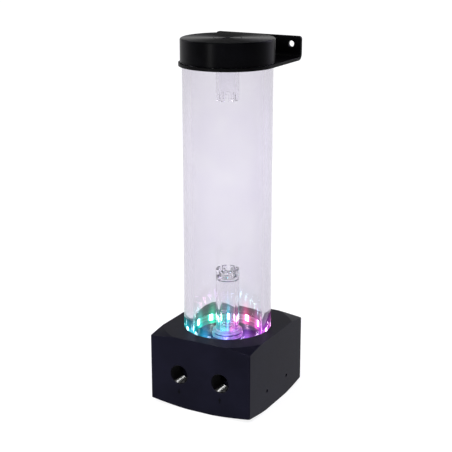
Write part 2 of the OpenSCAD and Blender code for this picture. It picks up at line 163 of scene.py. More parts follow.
def toned(tree, shader, pattern, stops):
    """Colours the surface by a pattern, through the stops."""
    colour = add(tree, "ValToRGB", {"Fac": pattern}, stops)
    tree.links.new(colour.outputs["Color"], shader.inputs["Base Color"])


def polished(tree, shader, pattern, smooth, rough, low=0.3, high=0.7):
    """Lets the roughness go from smooth to rough as a pattern goes from low to high."""
    tree.links.new(between(tree, pattern, low, high, smooth, rough), shader.inputs["Roughness"])


# A wave texture of scale 1 repeats every tenth of pi metres
WAVE = 0.314
print("helpers are ready")

# %% [markdown]
# ## Black anodised aluminium
# The base is milled from a block, bead blasted and anodised black. The oxide is a clear
# layer full of dye: nearly black, with a cold violet sheen where light grazes it. The
# blasting leaves a fine even grain, which blurs every reflection. Its edges are painted
# lighter: partly wear from handling, partly a painted highlight.

# %% Finish: bead-blasted black anodised aluminium
anodised, tree, shader, place = finish("anodised_aluminium_blasted", IOR=1.5)
shader.inputs["Specular IOR Level"].default_value = 0.05
shader.inputs["Specular Tint"].default_value = linear("#cfcaff")
cloud = grain(tree, place, 26, 3)
dyed = add(tree, "ValToRGB", {"Fac": cloud}, [(0.35, "#0e0e17"), (0.65, "#13131e")]).outputs[0]
rounded = soft_edge(tree, 0.35)
# The edges are painted lighter towards #54525c, more where a fine noise says so: partly wear, partly
# a painted highlight on the edges.
edge_wear_and_highlight = add(tree, "Math", {0: edge_mask(tree, rounded),
                          1: between(tree, grain(tree, place, 1.8), 0.35, 0.7, 0.05, 0.4)},
           operation="MULTIPLY").outputs[0]
colour = add(tree, "Mix", {"Factor": edge_wear_and_highlight, 6: dyed, 7: linear("#54525c")}, data_type="RGBA")
tree.links.new(colour.outputs[2], shader.inputs["Base Color"])
# Blasting grit is 0.1 mm; it is drawn at 0.35 mm so that it shows at this size.
blasted = grain(tree, place, 0.35, 1)
polished(tree, shader, blasted, 0.33, 0.43)
bumped(tree, shader, blasted, 0.012, rounded)
print("made", anodised.name)

# %% [markdown]
# ## Turned acetal
# The cap and the plug are turned from black acetal, a dense slippery plastic. The tool
# leaves fine rings round the axis, so the top face shows a faint circular lay and the
# side catches light in a soft upright band.

# %% Finish: turned black acetal
acetal, tree, shader, place = finish("acetal_turned", IOR=1.48, Anisotropic=0.9,
                                      Anisotropic_Rotation=0.25)
shader.inputs["Specular IOR Level"].default_value = 0.03
lay = add(tree, "Tangent", direction_type="RADIAL", axis="Z").outputs[0]
tree.links.new(lay, shader.inputs["Tangent"])
rounded = soft_edge(tree, 0.25)
# The feed is 0.12 mm a turn; the rings are drawn at 0.5 mm so that they show.
rings = add(tree, "TexWave", {"Vector": place, "Scale": WAVE / (0.5 * MM), "Distortion": 0.3,
                              "Detail": 1.0}, wave_type="RINGS", rings_direction="Z").outputs["Fac"]
tone = add(tree, "ValToRGB", {"Fac": grain(tree, place, 9, 3)},
           [(0.3, "#020203"), (0.7, "#050507")]).outputs[0]
# The edges are painted lighter, a fifth of the way towards #4b4b50: partly wear, partly a painted
# highlight on the edges.
edge_wear_and_highlight = add(tree, "Math", {0: edge_mask(tree, rounded), 1: 0.22}, operation="MULTIPLY").outputs[0]
colour = add(tree, "Mix", {"Factor": edge_wear_and_highlight, 6: tone, 7: linear("#4b4b50")}, data_type="RGBA")
tree.links.new(colour.outputs[2], shader.inputs["Base Color"])
polished(tree, shader, rings, 0.40, 0.48, 0, 1)
bumped(tree, shader, rings, 0.002, rounded)
print("made", acetal.name)

# %% [markdown]
# ## Powder coated sheet
# The bracket is bent from 2 mm steel sheet and powder coated. Melted powder flows into
# a slight orange peel, a bump about a millimetre across and a few hundredths deep, and
# it rounds every edge.

# %% Finish: black powder coat
coated, tree, shader, place = finish("powder_coat_black", IOR=1.5)
shader.inputs["Specular IOR Level"].default_value = 0.04
peel = grain(tree, place, 1.1, 1)
tone = add(tree, "ValToRGB", {"Fac": grain(tree, place, 14, 2)},
           [(0.3, "#020203"), (0.7, "#050506")]).outputs[0]
tree.links.new(tone, shader.inputs["Base Color"])
polished(tree, shader, peel, 0.36, 0.48)
bumped(tree, shader, peel, 0.03, soft_edge(tree, 0.4))
print("made", coated.name)

# %% [markdown]
# ## The colours of the light ring
# Twelve colour diodes sit round the foot of the tube. They are set to different colours,
# and each one tints its side of the tube: cyan on one side, magenta on the other, with
# violet where they mix. One ramp over the angle round the axis serves the diodes and
# the painted glow in the tube's foot.

# %% Colour by angle
def round_the_axis(tree, place, stops):
    """A ramp over the angle round Z: 0 at -X, a quarter at -Y, a half at +X."""
    turn = add(tree, "TexGradient", {"Vector": place}, gradient_type="RADIAL")
    return add(tree, "ValToRGB", {"Fac": turn.outputs["Fac"]}, stops).outputs["Color"]


GLOW = [(0.00, "#2fe6d0"), (0.08, "#14d8e0"), (0.22, "#20b8e8"), (0.33, "#8a7cf0"),
        (0.45, "#c060f0"), (0.58, "#d84ff0"), (0.66, "#f060c8"), (0.735, "#ff5a9c"),
        (0.79, "#a0b0f0"), (0.82, "#30e0f0"), (0.90, "#20e0a8"), (1.00, "#2fe6d0")]


DIODES = 12
# The first diode sits this part of a step before -X
DIODE_SHIFT = 0.15


def off_diode(tree, place):
    """How far round from the nearest of the twelve diodes, 0 on it and 0.5 half way to
    the next."""
    turn = add(tree, "TexGradient", {"Vector": place}, gradient_type="RADIAL").outputs["Fac"]
    part = add(tree, "Math", {0: turn, 1: DIODES, 2: DIODES + 0.5 + DIODE_SHIFT},
               operation="MULTIPLY_ADD").outputs[0]
    part = add(tree, "Math", {0: part}, operation="FRACT").outputs[0]
    off = add(tree, "Math", {0: part, 1: 0.5}, operation="SUBTRACT").outputs[0]
    return add(tree, "Math", {0: off}, operation="ABSOLUTE").outputs[0]


print("the ramp has", len(GLOW), "stops")

# %% [markdown]
# ## Clear acrylic
# The tube is cast acrylic, 6 mm thick. It looks nearly colourless face on, and darker
# and more violet near its sides, because there the light travels through up to 35 mm of
# it. That comes from the material's own absorption, so it is a volume and not a paint.
# The foot has a painted glow: emission standing in for the diodes' light, which enters
# its outer wall and leaks out again over the first centimetres. The discs under the
# standpipe keep the satin of the lathe, and carry the same painted glow all over.

# %% Finish: cast clear acrylic
# Height of the reservoir's floor in metres, where the painted glow in the acrylic is strongest
FLOOR = 0.044


def acrylic(name, glow, top, dense, rough=0.0, clear=1.0):
    """Acrylic that absorbs as much as dense says and lets the share clear through. Its foot
    has a painted glow, emission standing in for the diodes' light in the acrylic: glow
    strong at the floor, none from the height top (in metres) up, and in twelve streaks,
    one above each diode."""
    material, tree, shader, place = finish(name, IOR=1.49)
    shader.inputs["Transmission Weight"].default_value = clear
    # A few faint wipes in the polish keep the surface from being perfectly even
    haze = grain(tree, place, 22, 2)
    toned(tree, shader, haze, [(0.3, "#fbfafd"), (0.7, "#ffffff")])
    polished(tree, shader, haze, rough, rough + 0.03, 0.55, 0.75)
    dim = add(tree, "VolumeAbsorption", {"Color": (0.27, 0.22, 0.34, 1), "Density": dense})
    tree.links.new(dim.outputs[0], tree.nodes["out"].inputs["Volume"])
    height = add(tree, "SeparateXYZ", {0: place}).outputs["Z"]
    # Painted glow: emission strongest at the floor, fading upwards, and strongest above each diode.
    fade = add(tree, "Math", {0: between(tree, height, top, FLOOR), 1: 2.4},
               operation="POWER").outputs[0]
    spot = between(tree, off_diode(tree, place), 0.26, 0.03, 0.2, 1.0)
    lit = add(tree, "Math", {0: fade, 1: spot}, operation="MULTIPLY").outputs[0]
    lit = add(tree, "Math", {0: lit, 1: glow}, operation="MULTIPLY").outputs[0]
    tree.links.new(round_the_axis(tree, place, GLOW), shader.inputs["Emission Color"])
    tree.links.new(lit, shader.inputs["Emission Strength"])
    return material


tube_acrylic = acrylic("acrylic_cast_painted_edge_glow", 1.3, 0.068, 46.0)
pipe_acrylic = acrylic("acrylic_cast_clear", 0.8, 0.066, 14.0)
disc_acrylic = acrylic("acrylic_cast_satin", 0.9, 0.075, 14.0, rough=0.3, clear=0.55)
print("made", tube_acrylic.name, pipe_acrylic.name, "and", disc_acrylic.name)

# %% [markdown]
# ## Rubber, metals and the parts inside
# The seals and feet are moulded nitrile, matt and very dark. Screws are turned
# stainless steel, the stator is a stack of stamped sheets, the coils are enamelled
# copper wire, and the rotor is a sintered ferrite ring on a carbon bush that runs on a
# ground ceramic pin.

# %% Finish: moulded nitrile rubber
rubber, tree, shader, place = finish("nitrile_rubber_moulded", IOR=1.52)
shader.inputs["Specular IOR Level"].default_value = 0.3
skin = grain(tree, place, 0.5, 3)
toned(tree, shader, grain(tree, place, 4, 2), [(0.3, "#0f0f10"), (0.7, "#19191b")])
polished(tree, shader, skin, 0.6, 0.8)
bumped(tree, shader, skin, 0.02)
print("made", rubber.name)

# %% Finish: turned stainless steel
stainless, tree, shader, place = finish("stainless_steel_turned", Metallic=1.0)
scratch = grain(tree, add(tree, "Mapping", {"Vector": place, "Scale": (1, 1, 6)}).outputs[0], 0.4, 2)
toned(tree, shader, scratch, [(0.3, "#a9a8a4"), (0.7, "#c9c8c4")])
polished(tree, shader, scratch, 0.22, 0.36)
bumped(tree, shader, scratch, 0.004, soft_edge(tree, 0.1))
print("made", stainless.name)

# %% Finish: stacked stator sheets
laminations, tree, shader, place = finish("silicon_steel_stamped_stack", Metallic=1.0)
# Sheets are 0.35 mm thick; each joint shows as a dark line.
layers = add(tree, "TexWave", {"Vector": place, "Scale": WAVE / (0.35 * MM)},
             wave_type="BANDS", bands_direction="Z").outputs["Fac"]
toned(tree, shader, layers, [(0.05, "#35363a"), (0.4, "#77797d")])
polished(tree, shader, grain(tree, place, 1.2), 0.35, 0.55)
bumped(tree, shader, layers, 0.02)
print("made", laminations.name)

# %% Finish: enamelled copper wire
copper, tree, shader, place = finish("copper_wire_enamelled", Metallic=1.0, Coat_Weight=0.6)
toned(tree, shader, grain(tree, place, 2.5), [(0.3, "#a4521f"), (0.7, "#c4692c")])
polished(tree, shader, grain(tree, place, 0.8), 0.2, 0.34)
print("made", copper.name)

# %% Finish: sintered ferrite
ferrite, tree, shader, place = finish("ferrite_sintered", IOR=1.9)
pits = grain(tree, place, 0.25, 4)
toned(tree, shader, pits, [(0.3, "#232326"), (0.7, "#37373b")])
polished(tree, shader, pits, 0.5, 0.7)
bumped(tree, shader, pits, 0.02, soft_edge(tree, 0.15))
print("made", ferrite.name)

# %% Finish: ground ceramic
ceramic, tree, shader, place = finish("zirconia_ground", IOR=2.1)
toned(tree, shader, grain(tree, place, 1.5), [(0.3, "#e4e1d8"), (0.7, "#f1efe8")])
polished(tree, shader, grain(tree, place, 0.3), 0.14, 0.24)
print("made", ceramic.name)

# %% Finish: bearing carbon
carbon, tree, shader, place = finish("carbon_bearing_ground", IOR=1.9)
flakes = grain(tree, place, 0.2, 3)
toned(tree, shader, flakes, [(0.3, "#1d1e20"), (0.75, "#3c3d40")])
polished(tree, shader, flakes, 0.3, 0.5)
print("made", carbon.name)

# %% [markdown]
# ## Board and light strip
# The driver board is glass-filled laminate under green solder resist, with copper
# tracks that show as a lighter green. The light strip is a white flexible board with
# pairs of tinned pads. Each diode is a clear lens over a chip that is bright enough to
# burn out to white, with its own colour round it.

# %% Finish: solder resist over copper tracks
board, tree, shader, place = finish("solder_resist_green", IOR=1.5, Coat_Weight=0.4)
# Tracks run at 1.3 mm pitch, bent by a slow noise into groups.
bent = add(tree, "VectorMath", {0: place, 1: add(tree, "VectorMath", {
    0: add(tree, "TexNoise", {"Vector": place, "Scale": 90.0}).outputs["Color"], 3: 0.006},
    operation="SCALE").outputs[0]}, operation="ADD").outputs[0]
tracks = add(tree, "TexWave", {"Vector": bent, "Scale": WAVE / (1.3 * MM)},
             wave_type="BANDS", bands_direction="X").outputs["Fac"]
toned(tree, shader, tracks, [(0.45, "#0c3a20"), (0.55, "#1d6136")])
polished(tree, shader, tracks, 0.38, 0.3, 0.4, 0.6)
bumped(tree, shader, between(tree, tracks, 0.45, 0.55), 0.03)
print("made", board.name)

# %% Finish: moulded chip packages
chips, tree, shader, place = finish("epoxy_moulded_packages", IOR=1.55)
speck = grain(tree, place, 0.12, 2)
toned(tree, shader, speck, [(0.35, "#18181a"), (0.8, "#3a3a3d")])
polished(tree, shader, speck, 0.5, 0.65)
bumped(tree, shader, speck, 0.01, soft_edge(tree, 0.08))
print("made", chips.name)

# %% Finish: white flexible strip
strip, tree, shader, place = finish("polyimide_white_flex", IOR=1.5)
pads = add(tree, "TexWave", {"Vector": place, "Scale": WAVE / (2.6 * MM)},
           wave_type="BANDS", bands_direction="Z").outputs["Fac"]
toned(tree, shader, pads, [(0.86, "#e6e4dc"), (0.93, "#c9a86a")])
polished(tree, shader, grain(tree, place, 0.6), 0.4, 0.55)
print("made", strip.name)

# %% Finish: lit diode lens
diode, tree, shader, place = finish("epoxy_lens_lit", IOR=1.53, Roughness=0.15)
toned(tree, shader, grain(tree, place, 0.6), [(0.3, "#d8dcdc"), (0.7, "#f4f6f6")])
tinted = round_the_axis(tree, place, GLOW)
# The chip is 3.5 mm wide and 4.4 mm tall, 46.5 mm above the table; the lens round it
# only glows in its colour
across = between(tree, off_diode(tree, place), 0.115, 0.095)
rise = add(tree, "Math", {0: add(tree, "SeparateXYZ", {0: place}).outputs["Z"],
                          1: 0.0465}, operation="SUBTRACT").outputs[0]
rise = add(tree, "Math", {0: rise}, operation="ABSOLUTE").outputs[0]
chip = add(tree, "Math", {0: across, 1: between(tree, rise, 0.0023, 0.0021)},
           operation="MULTIPLY").outputs[0]
hot = add(tree, "Mix", {"Factor": between(tree, chip, 0, 1, 0.0, 0.6), 6: tinted,
                        7: linear("#ffffff")}, data_type="RGBA")
tree.links.new(hot.outputs[2], shader.inputs["Emission Color"])
tree.links.new(between(tree, chip, 0, 1, 1.6, 22.0), shader.inputs["Emission Strength"])
print("made", diode.name)

# %% [markdown]
# ## Surfaces from grids
# Each new piece is a grid of points: rows run along a profile and columns run round an
# axis or along a path. One function turns grids into a closed mesh. It merges the
# points that meet at a pole and turns the faces outward.

# %% Grid to mesh
# Faces that meet at more than this angle keep a sharp edge between them
SHARP = math.radians(32)


def skin_of(name, grids, material, body, stands_for=()):
    """Builds one closed mesh from grids of points in mm, each (rows, columns, 3), and
    lets it ride on a body of the frame. Point (i, j) joins (i + 1, j) and (i, j + 1).
    Columns close on themselves. Rows do too, unless the grid starts in a pole."""
    points, faces, start = [], [], 0
    for g in grids:
        rows, columns = g.shape[:2]
        index = np.arange(rows * columns).reshape(rows, columns) + start
        down = np.roll(index, -1, 0)
        quads = np.stack([index, down, np.roll(down, -1, 1), np.roll(index, -1, 1)], -1)
        if np.ptp(g[0], axis=0).max() < 1e-9:
            quads = quads[:-1]
        points.append(g.reshape(-1, 3))
        faces.append(quads.reshape(-1, 4))
        start += rows * columns
    mesh = bpy.data.meshes.new(name)
    mesh.from_pydata((np.concatenate(points) * MM).tolist(), [], np.concatenate(faces).tolist())
    work = bmesh.new()
    work.from_mesh(mesh)
    bmesh.ops.remove_doubles(work, verts=work.verts, dist=2e-6)
    bmesh.ops.dissolve_degenerate(work, edges=work.edges, dist=1e-6)
    bmesh.ops.recalc_face_normals(work, faces=work.faces)
    work.to_mesh(mesh)
    work.free()
    mesh.polygons.foreach_set("use_smooth", np.ones(len(mesh.polygons), bool))
    mesh.set_sharp_from_angle(angle=SHARP)
    mesh.materials.append(material)
    piece = bpy.data.objects.new(name, mesh)
    scene.collection.objects.link(piece)
    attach(piece, body)
    if stands_for:
        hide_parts(*stands_for)
    print(name, "has", len(mesh.polygons), "faces")
    return piece


def filleted(outline, radius, closed=True, steps=4):
    """An outline of (r, z) corners with each corner rounded: the corner is replaced by
    an arc that starts and ends a tangent length t = radius / tan(half the corner's
    angle) away from it, or less where a side is short. One more point just past each
    end of the arc keeps the long face beside it flat, so clear walls don't act as
    wedges."""
    outline = np.asarray(outline, float)
    last = len(outline) - 1
    rounded = []
    for k, corner in enumerate(outline):
        if corner[0] < 1e-6 or (not closed and k in (0, last)):
            rounded.append(corner)
            continue
        before, after = outline[k - 1] - corner, outline[(k + 1) % (last + 1)] - corner
        la, lb = np.linalg.norm(before), np.linalg.norm(after)
        a, b = before / la, after / lb
        half = math.acos(np.clip(a @ b, -1, 1)) / 2
        if half > 1.45:
            rounded.append(corner)
            continue
        t = min(radius / math.tan(half), 0.45 * la, 0.45 * lb)
        r = t * math.tan(half)
        middle = (a + b) / np.linalg.norm(a + b) * r / math.sin(half) + corner
        p, q = corner + a * t - middle, corner + b * t - middle
        w = np.linspace(0, 1, steps + 1)[:, None]
        arc = p * (1 - w) + q * w
        rounded.append(corner + a * (t + min(0.2 * radius, 0.04 * la)))
        rounded.extend(arc / np.linalg.norm(arc, axis=1)[:, None] * r + middle)
        rounded.append(corner + b * (t + min(0.2 * radius, 0.04 * lb)))
    return np.array(rounded)


def threaded(r, z0, z1, depth, fade=0.8):
    """Rows (r, z, depth) up a threaded length, 0.09 mm apart. The depth grows and dies away over fade
    mm at both ends, as a real thread runs out."""
    z = np.linspace(z0, z1, max(int(abs(z1 - z0) / 0.09), 2))
    near = np.clip(np.minimum(abs(z - z0), abs(z - z1)) / fade, 0, 1)
    return np.stack([r + 0 * z, z, depth * near * near * (3 - 2 * near)], 1)


def revolved(rows, columns):
    """Rows of (r, z) or (r, z, thread depth) carried round Z. Point (i, j) is
    (R cos u, R sin u, z) with R = r + depth * tooth(z / PITCH - u / full turn), so the
    tooth climbs one pitch a turn. The tooth is 1 on its crest, 0 at its root, and falls
    in a straight flank between them."""
    rows = np.asarray(rows, float)
    if rows.shape[1] == 2:
        rows = np.hstack([rows, np.zeros((len(rows), 1))])
    u = np.linspace(0, 2 * np.pi, columns, endpoint=False)
    r, z, depth = rows[:, :1], rows[:, 1:2], rows[:, 2:]
    part = (z / PITCH - u / (2 * np.pi)) % 1.0
    tooth = np.clip((0.43 - abs(part - 0.5)) / 0.36, 0, 1)
    radius = r + depth * tooth
    return np.stack([radius * np.cos(u), radius * np.sin(u), z + 0 * u], -1)


def joined(*parts):
    """Plain (r, z) parts and threaded parts of one outline, put end to end."""
    return np.vstack([np.hstack([p, np.zeros((len(p), 1))]) if p.shape[1] == 2 else p
                      for p in map(np.asarray, parts)])


def along_y(grid, x, y, z):
    """A grid made round Z, turned so that its axis runs along +Y from (x, y, z)."""
    return np.stack([grid[..., 0] + x, grid[..., 2] + y, z - grid[..., 1]], -1)


print("grid tools are ready")

# %% [markdown]
# ## The reservoir tube
# A length of cast tube with its ends polished square and their edges just broken. It is
# a closed rectangle of wall carried round the axis, so light refracts at both faces of
# the wall. The many columns keep the refraction free of facets.

# %% The reservoir tube
tube_low, tube_high = (np.array(c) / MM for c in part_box("reservoir_tube"))
tube_r, tube_bore = tube_high[0], 24.0
wall = filleted([(tube_bore, tube_low[2]), (tube_r, tube_low[2]),
                 (tube_r, tube_high[2]), (tube_bore, tube_high[2])], 0.4)
skin_of("clear_tube", [revolved(wall, 288)], tube_acrylic, "base",
        ["reservoir_tube"])

# %% [markdown]
# ## Standpipe, its washer and the dip tube
# The standpipe brings the returning coolant up into the reservoir. It screws into the
# floor through a clear washer, and its top is bored out and threaded, so that a second
# length could be added. The dip tube hangs from the cap, below the fill hole.

# %% Standpipe, washer and dip tube
washer_low, washer_high = (np.array(c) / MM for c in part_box("standpipe_collar"))
floor_z = washer_low[2]
pipe_top = np.array(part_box("standpipe")[1])[2] / MM
flange_z, flange_top = floor_z + 2.7, floor_z + 2.7 + 1.7
# Radii of the pipe, its bore, its widened top, its flange and the bore of its foot
pipe_r, bore_r, bell_r, flange_r, foot_bore = 8.0, 5.5, 6.2, 10.2, 3.8
notch_depth = 4.4
outside = filleted([(foot_bore, floor_z - 5.3), (5.65, floor_z - 5.3), (5.65, flange_z),
                    (flange_r, flange_z), (flange_r, flange_top), (8.8, flange_top),
                    (pipe_r, flange_z + 2.5), (pipe_r, pipe_top), (bell_r, pipe_top),
                    (bell_r, pipe_top - 0.6)], 0.3, closed=False)
inside = filleted([(bell_r, pipe_top - 6.6), (bell_r, pipe_top - 7), (bore_r, pipe_top - 7.7),
                   (bore_r, flange_top), (foot_bore, flange_z)], 0.3, closed=False)
bell = threaded(bell_r, pipe_top - 0.7, pipe_top - 6.5, -0.55)
standpipe = skin_of("standpipe_clear", [revolved(joined(outside, bell, inside), 144)],
                    pipe_acrylic, "base", ["standpipe"])

washer = filleted([(5.7, floor_z), (washer_high[0], floor_z),
                   (washer_high[0], washer_high[2]), (5.7, washer_high[2])], 0.3)
skin_of("standpipe_washer", [revolved(washer, 144)], disc_acrylic, "base",
        ["standpipe_collar"])

dip_low, dip_high = (np.array(c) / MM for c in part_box("dip_tube"))
dip_r = 7.5
dip = filleted([(bore_r, dip_low[2]), (dip_r, dip_low[2]), (dip_r, dip_high[2]),
                (bore_r, dip_high[2])], 0.3)
dip_tube = skin_of("dip_tube_clear", [revolved(dip, 144)], pipe_acrylic, "cap",
                   ["dip_tube"])


def prism(corners, z0, z1):
    """A block: a flat outline of (x, y) corners carried from z0 to z1, closed by its
    middle point at both ends."""
    corners = np.asarray(corners, float)
    n, middle = len(corners), corners.mean(0)
    return np.stack([np.broadcast_to([*middle, z0], (n, 3)),
                     np.hstack([corners, np.full((n, 1), z0)]),
                     np.hstack([corners, np.full((n, 1), z1)]),
                     np.broadcast_to([*middle, z1], (n, 3))])


def mill(piece, blocks, body):
    """Cuts blocks out of a piece, as an end mill does, and keeps the result."""
    cutter = skin_of("cutter", blocks, piece.data.materials[0], body)
    cut = piece.modifiers.new("cut", "BOOLEAN")
    cut.operation, cut.solver, cut.use_self, cut.object = "DIFFERENCE", "EXACT", True, cutter
    result = bpy.data.meshes.new_from_object(
        piece.evaluated_get(bpy.context.evaluated_depsgraph_get()))
    piece.modifiers.clear()
    piece.data = result
    bpy.data.objects.remove(cutter)
    result.set_sharp_from_angle(angle=SHARP)
    print(piece.name, "is milled and has", len(result.polygons), "faces")


def notches(z0, z1):
    """Four slabs through the axis, which cut eight notches in the end of a pipe."""
    slabs = []
    for degrees in (22.5, 67.5, 112.5, 157.5):
        c, s = math.cos(math.radians(degrees)), math.sin(math.radians(degrees))
        flat = np.array([(-9, -1.2), (9, -1.2), (9, 1.2), (-9, 1.2)])
        slabs.append(prism(flat @ np.array([[c, s], [-s, c]]), z0, z1))
    return slabs


mill(standpipe, notches(pipe_top - notch_depth, pipe_top + 1), "base")

# The flange is left as it came off the lathe, so its faces get the satin acrylic
middles = np.zeros(len(standpipe.data.polygons) * 3)
standpipe.data.polygons.foreach_get("center", middles)
middles = middles.reshape(-1, 3) / MM
on_flange = (np.hypot(middles[:, 0], middles[:, 1]) > pipe_r + 0.2).astype(np.int32)
standpipe.data.materials.append(disc_acrylic)
standpipe.data.polygons.foreach_set("material_index", on_flange)
mill(dip_tube, notches(dip_low[2] - 1, dip_low[2] + notch_depth), "cap")

# %% [markdown]
# ## The cap
# The cap is turned in one piece: a skirt outside the tube, a spigot with two O-ring
# grooves inside it, and a threaded fill hole through the middle. Its outline runs up
# the spigot, round the skirt, over the rounded top edge and down the fill hole, where
# the thread is part of the same surface.

# %% The cap
cap_low, cap_high = (np.array(c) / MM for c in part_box("cap_cover"))
cap_r, cap_top, foot_z = cap_high[0], cap_high[2], cap_low[2]
skirt = cap_top - 15.4
turn = np.linspace(0, np.pi / 2, 9)
edge = np.stack([cap_r - 1.2 + 1.2 * np.cos(turn), cap_top - 1.2 + 1.2 * np.sin(turn)], 1)
# Radii of the fill hole's thread root, the spigot, its grooves and the skirt's inside
hole_r, spigot_r, groove_r, skirt_bore = 6.58, 23.7, 22.2, 30.2
# Each O-ring groove is 1.8 mm wide, and the two start 3.6 mm apart
groove_w, groove_step = 1.8, 3.6
grooves = [foot_z + 2.6, foot_z + 2.6 + groove_step]
inner = [(hole_r, cap_top - 9.6), (hole_r, cap_top - 9.7), (7.55, cap_top - 9.7), (7.55, foot_z),
         (spigot_r, foot_z)]
for g in grooves:
    inner += [(spigot_r, g), (groove_r, g), (groove_r, g + groove_w), (spigot_r, g + groove_w)]
spigot = inner + [(spigot_r, cap_top - 6.2), (skirt_bore, cap_top - 6.2), (skirt_bore, skirt),
                  (cap_r, skirt), tuple(edge[0])]
mouth = [tuple(edge[-1]), (9.2, cap_top), (9.2, cap_top - 3.2), (hole_r, cap_top - 3.2),
         (hole_r, cap_top - 3.4)]
fill_thread = threaded(hole_r, cap_top - 3.4, cap_top - 9.6, -0.83)
skin_of("cap_turned", [revolved(joined(filleted(spigot, 0.2, closed=False), edge[1:-1],
        filleted(mouth, 0.2, closed=False), fill_thread[1:-1]), 224)],
        acetal, "cap", ["cap_cover"])


def o_ring(r_in, r_out, z0, z1):
    """A rubber ring squeezed into its seat: its section is an oval whose sides are
    pressed flat, (|cos t|^0.6, |sin t|^0.6) times half its width and height."""
    t = np.linspace(0, 2 * np.pi, 24, endpoint=False)
    c, s = np.cos(t), np.sin(t)
    r = (r_in + r_out) / 2 + (r_out - r_in) / 2 * np.sign(c) * abs(c) ** 0.6
    z = (z0 + z1) / 2 + (z1 - z0) / 2 * np.sign(s) * abs(s) ** 0.6
    return revolved(np.stack([r, z], 1), 160)


skin_of("cap_rings", [o_ring(groove_r, 23.95, g + 0.02, g + groove_w - 0.02) for g in grooves],
        rubber, "cap", ["cap_o_rings"])

# %% [markdown]
# ## The fill plug
# A slotted plug with a short thread. The thread on the plug lies half a pitch from the
# one in the cap, so the two mesh without touching at every height, because the plug
# rises one pitch a turn. The slot is cut right across the head with an end mill.

# %% The fill plug
plug_low = np.array(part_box("fill_plug")[0]) / MM
head_z = cap_top - 2.55
shank_r, head_r = 5.62, 8.9
shank = filleted([(0, plug_low[2]), (5.3, plug_low[2]), (shank_r, plug_low[2] + 0.5)], 0.2,
                 closed=False)
shank_thread = threaded(shank_r, plug_low[2] + 0.5, head_z - 0.1, 0.83)
head = filleted([(shank_r, head_z), (head_r, head_z), (head_r, cap_top), (0, cap_top)], 0.25,
                closed=False)
# The tooth is moved by half a pitch by building the plug lower and lifting it
rows = joined(shank, shank_thread, head)
rows[:, 1] -= PITCH / 2
plug_grid = revolved(rows, 128)
plug_grid[..., 2] += PITCH / 2
plug = skin_of("plug_slotted", [plug_grid], acetal, "plug", ["fill_plug"])

mill(plug, [prism([(1.1, 9.5), (-1.1, 9.5), (-1.1, -9.5), (1.1, -9.5)],
                  cap_top - 1.4, cap_top + 2)], "plug")

# %% [markdown]
# ## Threads in the two ports
# The ports take G 1/4 fittings: 19 threads an inch, a pitch of 1.337 mm, cut 0.86 mm
# deep. The CAD has plain bores at the root of the thread. Here a thin sleeve lines each
# bore: its outer face is hidden in the wall, and its inner face carries the thread.

# %% Threads in the ports
face_y = np.array(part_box("base_housing")[0])[1] / MM
# Half the distance between the ports, and their height above the table
port_x, port_z = 15.7, 24.6
port_rows = joined([(6.6, 0.45), (6.6, 11.9)],
                   threaded(6.56, 11.9, 0.45, -0.84, fade=1.1))
sleeve = revolved(port_rows, 160)
cut_thread, tree, shader, place = finish("anodised_aluminium_tapped", IOR=1.5)
# Only the lowest crests, where fittings rub, are polished bright
height = add(tree, "SeparateXYZ", {0: place}).outputs["Z"]
tree.links.new(between(tree, height, 0.0198, 0.0188, 0.04, 1.0),
               shader.inputs["Specular IOR Level"])
swarf = grain(tree, place, 0.3, 2)
toned(tree, shader, swarf, [(0.3, "#020203"), (0.7, "#050507")])
polished(tree, shader, swarf, 0.14, 0.26)
skin_of("port_threads", [along_y(sleeve, x, face_y, port_z) for x in (-port_x, port_x)],
        cut_thread, "base")

# %% [markdown]
# ## Arrows at the ports
# Each port is marked with a plain arrow: one points away from its port, for the
# coolant that leaves, and one points at its port, for the coolant that comes back. They
# are laser marks in the anodising, black on black and thinner than a hair.

# %% Arrows at the ports
marked, tree, shader, place = finish("laser_mark_in_anodising", IOR=1.5)
shader.inputs["Specular IOR Level"].default_value = 0.02
frost = grain(tree, place, 0.25, 2)
toned(tree, shader, frost, [(0.3, "#050506"), (0.7, "#0b0b0d")])
polished(tree, shader, frost, 0.6, 0.8)


def arrow(x, z, way):
    """A flat arrow on the port face. Its outline is one ring of points round its own
    middle, so a grid of middle, back ring, front ring and middle closes it."""
    ring = np.array([(0, 1.9), (1.3, 0.1), (0.4, 0.1), (0.4, -1.9),
                     (-0.4, -1.9), (-0.4, 0.1), (-1.3, 0.1)]) * [1, way]
    n, proud = len(ring), 0.02
    back, front = (np.stack([ring[:, 0] + x, np.full(n, face_y + d), ring[:, 1] + z], 1)
                   for d in (proud, -proud))
    middles = [np.broadcast_to([x, face_y + d, z], (n, 3)) for d in (proud, -proud)]
    return np.stack([middles[0], back, front, middles[1]])


arrow_z = 12.4
skin_of("port_arrows", [arrow(-port_x, arrow_z, -1), arrow(port_x, arrow_z, 1)], marked,
        "base")

# %% [markdown]
# ## Rubber feet and cable bushes
# The feet are moulded with a rounded rim and a dished middle, so that they grip like a
# suction pad. The cable bushes in the back face are soft rubber rings with a round lip.

# %% Rubber feet and cable bushes
foot = filleted([(0, 0.3), (2.0, 0.3), (2.9, 0.0), (4.8, 0.0), (4.8, 2.0), (0, 2.0)], 0.4,
                closed=False, steps=5)
foot_grid = revolved(foot, 64)
foot_xy = 26.3
skin_of("feet_moulded", [foot_grid + np.array([x, y, 0]) for x in (-foot_xy, foot_xy)
                         for y in (-foot_xy, foot_xy)], rubber, "base",
        ["rubber_feet"])


def bush(r_hole, r_wall, z):
    """A cable bush: a sleeve through the wall with a lip that stands outside it."""
    lip = r_wall + (1.7 if r_wall > 3 else 1.3)
    outline = filleted([(r_hole, -5), (r_wall, -5), (r_wall, 0), (lip, 0), (lip, 1.35),
                        (r_hole, 1.35)], 0.5)
    return along_y(revolved(outline, 72), 0, -face_y, z)


